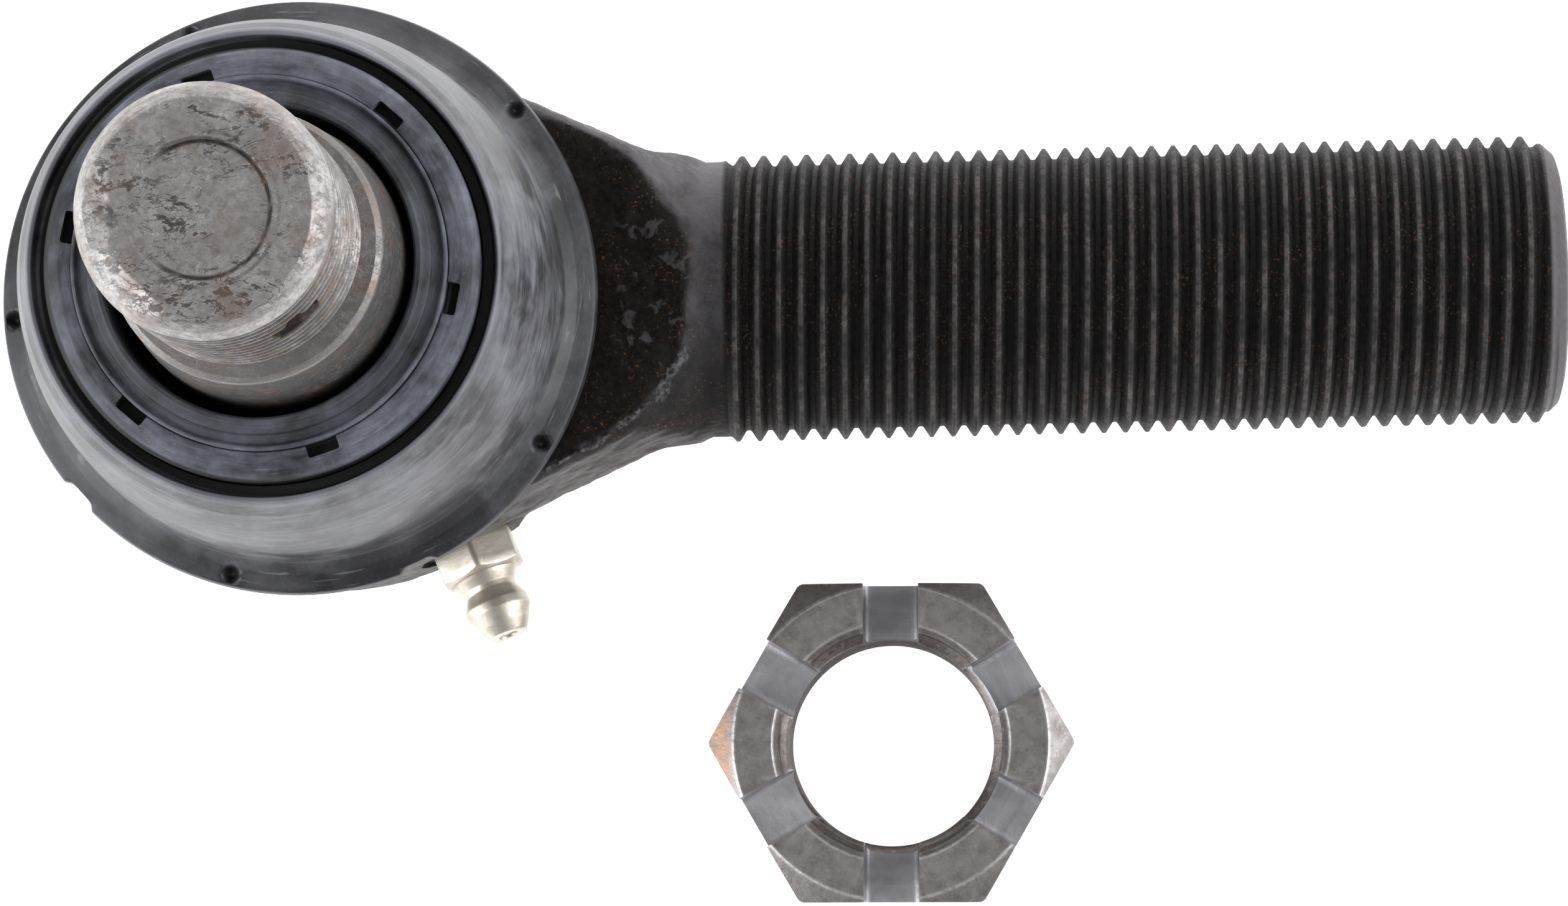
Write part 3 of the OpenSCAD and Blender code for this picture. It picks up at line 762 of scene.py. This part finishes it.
def forging_material():
    """Black forging scale with rust speckles, a bare gray collar and worn thread crests, with light and shade
    painted in: sides and collar lighter towards +Y and darker towards -Y, and painted highlights on the die ridge
    and the raised lumps.
    """
    s = Shader("forging_scale")
    x, y, z = s.split()
    up = s.minus(z, BALL_Z * MM)
    radius = s.hypot(y, up)
    facing = s.split(s.node("ShaderNodeNewGeometry").outputs["Normal"])[2]
    stand_out = s.stand_out()
    ragged = s.times(s.minus(s.noise(420, 4, 0.6), 0.5), 0.0030)
    cubed = s.times(s.times(y, y), s.math("ABSOLUTE", y))
    past = s.plus(s.math("MULTIPLY_ADD", cubed, 2700.0, x), ragged)
    grain = s.noise(1400, 6, 0.65)
    blotch = s.noise(300, 5, 0.6)

    plateau = s.times(s.fit(past, 0.0382, 0.0372), s.fit(facing, 0.70, 0.93))
    black = s.mix(s.fit(grain, 0.35, 0.7), (0.0035, 0.0028, 0.0025), (0.014, 0.011, 0.010))
    # Painted highlights on the plateau's raised lumps and die marks, where the surface stands out.
    lumps = s.times(s.fit(stand_out, 0.035, 0.11), s.fit(s.noise(900, 4, 0.6), 0.40, 0.62))
    marked = s.times(s.fit(x, 0.0300, 0.0315), s.fit(s.math("ABSOLUTE", y), 0.0085, 0.0065))
    marked = s.times(marked, s.fit(s.noise(620, 3, 0.5, distort=0.7), 0.585, 0.66))
    lumps = s.math("MAXIMUM", lumps, s.times(marked, 0.75))
    black = s.mix(s.times(lumps, 0.8), black, (0.075, 0.072, 0.080))
    # Painted highlight along the raised die ridge at the plateau's edge, on its -Y side.
    ridge_highlight = s.fit(s.math("ABSOLUTE", s.minus(past, 0.0374)), 0.0005, 0.0002)
    ridge_highlight = s.times(s.times(ridge_highlight, s.fit(y, -0.0045, -0.0065)), s.fit(grain, 0.42, 0.6))

    # Painted light and shade on the sides: lighter towards +Y and darker towards -Y, as if lit from +Y. The
    # steepest sides take a blotchy mid gray instead.
    lit = s.fit(s.plus(y, s.times(ragged, 2.0)), -0.0115, 0.0115)
    side_painted_shade = s.mix(s.fit(grain, 0.35, 0.7), (0.0045, 0.0038, 0.0036), (0.017, 0.015, 0.0155))
    side_painted_light = s.mix(s.fit(blotch, 0.3, 0.7), (0.032, 0.030, 0.032), (0.105, 0.099, 0.104))
    sides = s.mix(lit, side_painted_shade, side_painted_light)
    low_side = s.fit(facing, 0.25, 0.05)
    sides = s.mix(low_side, sides,
                  s.mix(s.fit(blotch, 0.35, 0.65), (0.030, 0.026, 0.025), (0.120, 0.112, 0.112)))
    body = s.mix(s.times(ridge_highlight, 0.7), s.mix(plateau, sides, black), (0.15, 0.145, 0.155))

    on_collar = s.fit(s.plus(x, s.times(ragged, 0.5)), 0.0372, 0.0392)
    bare = s.mix(s.fit(s.noise(900, 6, 0.7), 0.3, 0.72), (0.030, 0.028, 0.030), (0.066, 0.062, 0.066))
    # Painted light and shade on the bare collar: darker towards -Y and lighter towards +Y, as if lit from +Y.
    bare = s.mix(s.fit(y, -0.003, -0.0095), bare, (0.0085, 0.0072, 0.0070))
    bare = s.mix(s.fit(y, 0.004, 0.0115), bare, (0.125, 0.119, 0.126))
    body = s.mix(on_collar, body, bare)

    crest = s.fit(radius, 0.01388, 0.01400)
    thread_root = s.mix(s.fit(grain, 0.3, 0.7), (0.0034, 0.0029, 0.0029), (0.012, 0.0108, 0.0108))
    thread_top = s.mix(s.fit(s.noise(1100, 5, 0.7), 0.35, 0.65), (0.022, 0.020, 0.021), (0.090, 0.085, 0.088))
    thread = s.mix(s.times(crest, s.fit(s.noise(260, 4, 0.6), 0.34, 0.60, 0.25, 1.0)),
                   thread_root, thread_top)
    body = s.mix(s.fit(x, 0.0405, 0.0410), body, thread)
    body = s.mix(s.fit(x, 0.1199, 0.1203), body, (0.085, 0.080, 0.083))

    spots = s.times(s.fit(s.noise(3300, 3, 0.5), 0.60, 0.68), s.fit(s.noise(260, 4, 0.6), 0.42, 0.66))
    rust = s.mix(s.noise(2600, 3, 0.6), (0.085, 0.032, 0.012), (0.23, 0.095, 0.035))
    color = s.mix(s.times(spots, 0.85), body, rust)

    pits = s.plus(s.times(grain, 0.6), s.times(s.noise(480, 4, 0.6), 0.8))
    metal = s.times(on_collar, s.fit(spots, 0, 1, 0.15, 0))
    return s.finish(Base_Color=color, Roughness=s.fit(grain, 0.3, 0.7, 0.52, 0.72), Metallic=metal,
                    Specular_IOR_Level=s.fit(plateau, 0, 1, 0.20, 0.10),
                    Normal=s.bump(pits, 0.00022, 0.75))


def stud_material():
    """Bare steel: pitted and cracked on its end, with dark thread roots, a few rust specks and painted shade on
    the taper, which sits in the gap above the seal.
    """
    s = Shader("stud_bare_steel")
    x, y, z = s.split()
    radius = s.hypot(x, y)
    height = s.minus(z, BALL_Z * MM)
    cloud = s.noise(260, 6, 0.65)
    grain = s.noise(1500, 6, 0.7)
    wide = s.vector("MULTIPLY", s.place, (0.5, 1.0, 1.0))
    steel = s.mix(s.fit(cloud, 0.32, 0.68), (0.27, 0.257, 0.252), (0.46, 0.445, 0.435))
    steel = s.mix(s.fit(grain, 0.38, 0.60), s.mix(0.5, steel, (0.15, 0.138, 0.135)), steel)

    patches = s.fit(s.noise(210, 4, 0.6, wide), 0.44, 0.58)
    vein = s.math("ABSOLUTE", s.minus(s.noise(520, 5, 0.62, wide, 0.8), 0.5))
    cracks = s.times(s.fit(vein, 0.020, 0.006), patches)
    crumbs = s.times(s.fit(s.noise(1500, 5, 0.70, wide), 0.535, 0.585), s.fit(patches, 0, 1, 0.30, 1.0))
    pits = s.math("MAXIMUM", cracks, crumbs)
    on_face = s.times(s.fit(height, 0.0758, 0.0764), s.fit(radius, 0.0104, 0.0092, 0.35, 1.0))
    steel = s.mix(s.times(pits, s.times(on_face, 0.92)), steel, (0.026, 0.021, 0.020))

    angle_mask = s.fit(s.math("DIVIDE", x, s.math("MAXIMUM", radius, 0.001)), -0.82, -0.45)
    line = s.fit(s.math("ABSOLUTE", s.minus(radius, 0.00586)), 0.00030, 0.00010)
    second = s.fit(s.math("ABSOLUTE", s.minus(radius, 0.00665)), 0.00022, 0.00008)
    second = s.times(second, s.fit(cloud, 0.46, 0.54, 0.1, 0.55))
    line = s.times(s.math("MAXIMUM", line, second), s.times(angle_mask, on_face))
    line = s.times(line, s.fit(s.noise(420, 3, 0.6), 0.30, 0.5, 0.45, 1.0))
    steel = s.mix(line, steel, (0.030, 0.027, 0.027))

    on_thread = s.times(s.fit(height, 0.0765, 0.0758), s.fit(height, 0.0544, 0.0552))
    depth = s.fit(radius, 0.01104, 0.01060)
    steel = s.mix(s.times(on_thread, depth), steel, (0.020, 0.017, 0.017))
    smudge = s.times(on_thread, s.fit(cloud, 0.42, 0.6, 0.45, 0.1))
    steel = s.mix(smudge, steel, (0.13, 0.115, 0.10))
    ledge = s.times(s.fit(height, 0.0548, 0.0540), s.fit(height, 0.0514, 0.0518))
    steel = s.mix(s.times(ledge, 0.8), steel, (0.17, 0.160, 0.154))
    # The taper's dark colour, kept in phosphate, is painted shade: the taper sits in the narrow gap between the
    # threads and the seal.
    taper = s.fit(height, 0.0518, 0.0514)
    phosphate = s.mix(s.noise(900, 5, 0.6), (0.040, 0.038, 0.038), (0.105, 0.101, 0.100))
    steel = s.mix(taper, steel, phosphate)

    spots = s.times(s.fit(s.noise(1300, 5, 0.65), 0.585, 0.66), s.fit(s.noise(170, 3, 0.6), 0.50, 0.62))
    rusty = s.times(s.fit(s.noise(240, 4, 0.6), 0.50, 0.66), 0.32)
    color = s.mix(s.math("MAXIMUM", s.times(spots, 0.8), rusty), steel, (0.20, 0.115, 0.065))
    rough = s.blend(taper, s.fit(cloud, 0.3, 0.7, 0.54, 0.42), 0.6)
    relief = s.minus(s.times(grain, 0.5), s.times(pits, 0.5))
    return s.finish(Base_Color=color, Roughness=rough,
                    Metallic=s.fit(s.math("MAXIMUM", spots, pits), 0, 1, 0.80, 0.2),
                    Normal=s.bump(relief, 0.00012, 0.55))


def rubber_material(name, dark, bloom, share, streak_size, rough=0.5, boot=False):
    """Black rubber with a dry gray bloom in streaks that follow the moulding, rubbed off in patches, and painted
    shade in the gaps, creases and slots where it meets other parts.
    """
    s = Shader(name, bends=boot)
    where, radius = around(s)
    height = s.minus(s.split()[2], BALL_Z * MM)
    patch = s.noise(85, 5, 0.6, distort=0.6)
    streak = s.noise(streak_size, 6, 0.65, s.vector("MULTIPLY", where, (1.0, 1.0, 4.0)))
    cloudy = s.noise(170, 5, 0.65)
    fine = s.noise(2400, 4, 0.6)
    amount = s.plus(s.fit(streak, 0.36, 0.66, 0.0, 0.45), s.fit(cloudy, 0.34, 0.64, 0.0, 0.55))
    amount = s.times(amount, s.fit(patch, 0.38, 0.50, share * 0.28, share))
    if boot:
        amount = s.times(amount, s.fit(height, 0.0150, 0.0178, 0.36, 1.0))
    amount = s.plus(amount, s.times(s.fit(fine, 0.56, 0.72), 0.08))
    color = s.mix(amount, dark, bloom)
    scratch = s.noise(760, 3, 0.5, s.vector("MULTIPLY", where, (0.6, 0.6, 7.0)))
    color = s.mix(s.times(s.fit(scratch, 0.67, 0.72), 0.30), color, tuple(c * 1.5 for c in bloom))
    if boot:
        rim = s.times(s.fit(height, 0.0375, 0.0378), s.fit(radius, 0.0212, 0.0214))
        color = s.mix(s.times(rim, 0.5), color, (0.20, 0.20, 0.23))
        # Painted shade on the boot's inner step at its lip, in the crease against the seal ring.
        groove = s.times(s.fit(height, 0.0345, 0.0352), s.fit(radius, 0.0213, 0.0211))
        color = s.mix(groove, color, (0.0060, 0.0060, 0.0066))
        mark = s.times(s.fit(height, 0.0148, 0.0141), s.fit(radius, 0.0277, 0.0274))
        color = s.mix(s.times(mark, s.fit(height, 0.0136, 0.0142)), color, (0.012, 0.012, 0.013))
    else:
        # Painted shade: the seal ring's outer wall in the gap to the boot and the floors of its slots are painted
        # darker, and the wiper lip by the stud is painted half darker.
        outer = s.fit(radius, 0.01980, 0.01998)
        color = s.mix(outer, color, (0.0060, 0.0060, 0.0066))
        slot = s.times(s.fit(height, 0.0388, 0.0385), s.fit(radius, 0.01732, 0.01736))
        color = s.mix(s.times(slot, s.fit(radius, 0.01900, 0.01893)), color, (0.0035, 0.0035, 0.0038))
        inner = s.fit(radius, 0.0170, 0.0160)
        color = s.mix(s.times(inner, 0.5), color, (0.018, 0.018, 0.020))
    grain = s.plus(s.times(fine, 0.3), s.times(streak, 0.6))
    return s.finish(Base_Color=color, Roughness=s.fit(amount, 0, 1, rough, rough + 0.16),
                    Specular_IOR_Level=0.36, Normal=s.bump(grain, 0.00008, 0.5))


def metal_material(name, dark, light, rough, metallic=0.9, scale=600, rust=0.0):
    """Worn metal with a cloudy finish and, where rust is above 0, brown specks."""
    s = Shader(name)
    cloud = s.noise(scale, 6, 0.65)
    color = s.mix(s.fit(cloud, 0.3, 0.7), dark, light)
    spots = s.times(s.fit(s.noise(scale * 2.7, 4, 0.6), 0.60, 0.68),
                    s.fit(s.noise(scale * 0.4, 3, 0.6), 0.42, 0.6))
    color = s.mix(s.times(spots, rust), color, (0.19, 0.075, 0.026))
    return s.finish(Base_Color=color, Roughness=s.fit(cloud, 0.3, 0.7, rough + 0.08, rough - 0.06),
                    Metallic=s.fit(s.times(spots, rust), 0, 1, metallic, 0.1),
                    Normal=s.bump(s.noise(scale * 2, 5, 0.6), 0.00006, 0.6))


def nut_material():
    """Dark phosphate with cooler machined slots, lighter edges that are partly wear and partly painted highlight,
    and a rust tint at one corner.
    """
    s = Shader("nut_phosphate")
    x, y, z = s.split()
    turn = math.radians(NUT_TURN)
    x = s.minus(x, NUT_CENTRE.x)
    y = s.minus(y, NUT_CENTRE.y)
    radius = s.hypot(x, y)
    stand_out = s.stand_out()
    cloud = s.noise(300, 6, 0.65)
    grain = s.noise(1700, 6, 0.7)
    base = s.mix(s.fit(cloud, 0.3, 0.7), (0.095, 0.080, 0.074), (0.20, 0.176, 0.168))
    base = s.mix(s.fit(grain, 0.56, 0.70), base, (0.27, 0.245, 0.235))
    base = s.mix(s.times(s.fit(grain, 0.44, 0.34), 0.7), base, (0.045, 0.037, 0.034))

    in_slot = 0.0
    brushed = 0.5
    for i in range(3):
        a = turn + math.radians(30 + 60 * i)
        across = s.plus(s.times(x, -math.sin(a)), s.times(y, math.cos(a)))
        along = s.plus(s.times(x, math.cos(a)), s.times(y, math.sin(a)))
        here = s.fit(s.math("ABSOLUTE", across), 0.00282, 0.00274)
        lines = s.noise(800, 4, 0.6, s.join(s.times(across, 0.12), along, i * 0.37))
        brushed = s.blend(here, brushed, lines)
        in_slot = s.math("MAXIMUM", in_slot, here)
    in_slot = s.times(in_slot, s.times(s.fit(z, 0.0128, 0.0130), s.fit(z, 0.0160, 0.0150)))
    slots = s.mix(s.fit(brushed, 0.3, 0.7), (0.30, 0.30, 0.325), (0.46, 0.46, 0.49))
    base = s.mix(in_slot, base, slots)
    # Edges that stand out are painted lighter: partly wear, partly a painted highlight.
    worn = s.times(s.fit(stand_out, 0.05, 0.22), s.fit(s.noise(700, 4, 0.6), 0.3, 0.6, 0.4, 1.0))
    base = s.mix(s.times(worn, 0.75), base, (0.66, 0.64, 0.64))
    tint = s.times(s.fit(x, -0.0155, -0.0165), s.fit(cloud, 0.38, 0.56))
    base = s.mix(s.times(tint, 0.7), base, (0.36, 0.20, 0.115))
    # Lighter rings at the top face's outer edge and round the bore: partly wear, partly a painted highlight.
    lobe_rim = s.fit(s.math("ABSOLUTE", s.minus(radius, 0.0156)), 0.00026, 0.00008)
    sink_rim = s.fit(s.math("ABSOLUTE", s.minus(radius, 0.0118)), 0.00020, 0.00006)
    rim = s.times(s.math("MAXIMUM", lobe_rim, sink_rim), s.fit(z, 0.0175, 0.0180))
    base = s.mix(s.times(rim, s.fit(grain, 0.35, 0.6, 0.2, 0.7)), base, (0.55, 0.53, 0.53))
    return s.finish(Base_Color=base, Roughness=s.fit(cloud, 0.3, 0.7, 0.50, 0.38), Metallic=0.82,
                    Normal=s.bump(grain, 0.00009, 0.6))


def liner_material():
    """A waxy bearing polymer with grease smears."""
    s = Shader("liner_polymer")
    smear = s.noise(260, 5, 0.6)
    color = s.mix(s.fit(smear, 0.3, 0.7), (0.52, 0.46, 0.30), (0.68, 0.62, 0.45))
    return s.finish(Base_Color=color, Roughness=s.fit(smear, 0.3, 0.7, 0.28, 0.5), Subsurface_Weight=0.08,
                    Normal=s.bump(s.noise(900, 3, 0.5), 0.00005, 0.4))


def floor_material():
    """Plain white paper."""
    s = Shader("paper")
    fibre = s.noise(900, 3, 0.5)
    color = s.mix(fibre, (0.93, 0.93, 0.93), (0.96, 0.96, 0.96))
    return s.finish(Base_Color=color, Roughness=0.9, Emission_Color=(1.0, 1.0, 1.0), Emission_Strength=1.0)


# ---------------------------------------------------------------- the pieces, on their bodies

MATERIAL = {
    "forging": forging_material(),
    "stud_steel": stud_material(),
    "liner_polymer": liner_material(),
    "bearing_steel": metal_material("bearing_steel", (0.28, 0.27, 0.26), (0.46, 0.45, 0.44), 0.34),
    "spring_steel": metal_material("spring_steel", (0.17, 0.165, 0.16), (0.38, 0.37, 0.36), 0.34, rust=0.2),
    "cover_steel": metal_material("cover_steel", (0.060, 0.054, 0.050), (0.16, 0.148, 0.140), 0.46, rust=0.7),
    "seal_rubber": rubber_material("seal_rubber", (0.010, 0.010, 0.011), (0.160, 0.165, 0.205), 0.95, 420),
    "boot_rubber": rubber_material("boot_rubber", (0.011, 0.011, 0.012), (0.190, 0.190, 0.215), 0.95, 360,
                                   0.40, True),
    "ring_steel": metal_material("ring_steel", (0.075, 0.070, 0.068), (0.22, 0.21, 0.205), 0.42, rust=0.5),
    "zerk_plating": metal_material("zerk_plating", (0.42, 0.37, 0.30), (0.66, 0.62, 0.55), 0.42, 0.85, 420),
}
MATERIAL["nut_steel"] = nut_material()


def add(piece, body, nodes, slot, sharp=38):
    """Shades a finished piece, and puts it on its CAD body in place of the CAD nodes it stands for. A piece given
    a tuple in place of a body is fixed where it stands, with its place at rest stored, and put on no body.
    """
    shade(piece, sharp)
    mark_stand_out(piece)
    piece.data.materials.clear()
    piece.data.materials.append(MATERIAL[slot])
    if isinstance(body, tuple):
        mark_place(piece)
        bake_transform(piece)
    else:
        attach(piece, body)
    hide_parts(*nodes)


add(socket_forging(), "housing", ["socket_forging"], "forging", 32)
add(ball_stud(), "stud", ["ball_stud"], "stud_steel", 32)
add(slotted_nut(), "nut", ["slotted_nut"], "nut_steel", 30)
add(boot_lower(), ("housing", "liner", BALL_Z + 16, BALL_Z + BOOT_SPLIT), ["dust_boot"], "boot_rubber", 50)
add(boot_upper(), ("liner", "seal_head", BALL_Z + BOOT_SPLIT, BALL_Z + 35.5), ["dust_boot"],
    "boot_rubber", 50)
add(seal_ring(), "seal_head", ["seal_ring"], "seal_rubber", 50)
add(wiper_lip(), "seal_head", ["wiper_lip"], "seal_rubber", 50)
add(clamp_ring(), "housing", ["boot_clamp_ring"], "ring_steel")
add(end_cover(), "housing", ["end_cover"], "cover_steel")
add(zerk_body(), "housing", ["zerk_body"], "zerk_plating", 30)

KEPT = {"bearing_liner": "liner_polymer", "pressure_seat": "bearing_steel", "thrust_washer": "bearing_steel",
        "preload_spring": "spring_steel", "cover_seal": "seal_rubber", "boot_stiffener": "ring_steel",
        "garter_spring": "spring_steel", "zerk_ball": "bearing_steel", "zerk_spring": "spring_steel",
        "zerk_washer": "zerk_plating"}
for name, slot in KEPT.items():
    node = frame["nodes"][name]
    node.data.materials.clear()
    node.data.materials.append(MATERIAL[slot])

# ---------------------------------------------------------------- floor, light and camera

REACH = 900                                              # of the floor, in mm each way
floor = make_object("floor", [(-REACH, -REACH, 0), (REACH, -REACH, 0), (REACH, REACH, 0), (-REACH, REACH, 0)],
                    [(0, 1, 2, 3)],
                    Matrix.Translation((0, 0, -0.2)))
floor.data.materials.append(floor_material())


def lamp(name, place, target, size, power, color=(1, 1, 1)):
    """A soft rectangular lamp aimed at a point. Lengths in metres."""
    data = bpy.data.lights.new(name, "AREA")
    data.shape = "RECTANGLE"
    data.size, data.size_y = size
    data.energy = power
    data.color = color
    lamp_object = bpy.data.objects.new(name, data)
    lamp_object.location = place
    lamp_object.rotation_euler = (Vector(target) - Vector(place)).to_track_quat("-Z", "Y").to_euler()
    bpy.context.scene.collection.objects.link(lamp_object)


lamp("left_softbox", (-0.70, -0.26, 0.42), (0.03, 0, 0.03), (0.6, 0.8), 7.5, (0.96, 0.98, 1.0))
lamp("right_softbox", (0.85, -0.05, 0.42), (0.03, 0, 0.03), (0.6, 0.8), 7.0, (0.96, 0.98, 1.0))
lamp("back_softbox", (0.05, 0.8, 0.5), (0.04, 0, 0.04), (1.0, 0.3), 4.0)

world = bpy.data.worlds.new("studio")
bpy.context.scene.world = world
world.use_nodes = True
tree = world.node_tree
tree.nodes.clear()
new, link = tree.nodes.new, tree.links.new
sky = new("ShaderNodeBackground")
out = new("ShaderNodeOutputWorld")
where = new("ShaderNodeTexCoord")
split = new("ShaderNodeSeparateXYZ")
fade = new("ShaderNodeMapRange")
fade.interpolation_type = "SMOOTHSTEP"
for socket, value in zip(fade.inputs[1:5], (0.05, 0.95, 0.95, 0.66)):
    socket.default_value = value
side = new("ShaderNodeMath")
side.operation = "POWER"
side.inputs[1].default_value = 2.0
level = new("ShaderNodeMath")
level.operation = "MULTIPLY_ADD"
level.inputs[1].default_value, level.inputs[2].default_value = 0.75, 0.45
glow = new("ShaderNodeMath")
glow.operation = "MULTIPLY"
link(where.outputs["Generated"], split.inputs[0])
link(split.outputs[0], side.inputs[0])
link(side.outputs[0], level.inputs[0])
link(split.outputs[2], fade.inputs[0])
link(fade.outputs[0], glow.inputs[0])
link(level.outputs[0], glow.inputs[1])
link(glow.outputs[0], sky.inputs["Strength"])
link(sky.outputs[0], out.inputs["Surface"])
bpy.context.scene.view_settings.view_transform = "Standard"

camera_data = bpy.data.cameras.new("camera")
camera_data.lens = 122.64
camera_data.sensor_width = 36
camera_data.clip_start, camera_data.clip_end = 0.01, 20
camera = bpy.data.objects.new("camera", camera_data)
CAMERA_PLACE = (0.06505, -0.05811, 0.54761)              # in metres
CAMERA_TURNS = ((-1.17, "Z"), (2.2, "Y"), (4.629, "X"))   # degrees, the outermost turn first
placing = Matrix.Translation(CAMERA_PLACE)
for degrees, axis in CAMERA_TURNS:
    placing = placing @ Matrix.Rotation(math.radians(degrees), 4, axis)
camera.matrix_world = placing
bpy.context.scene.collection.objects.link(camera)
bpy.context.scene.camera = camera
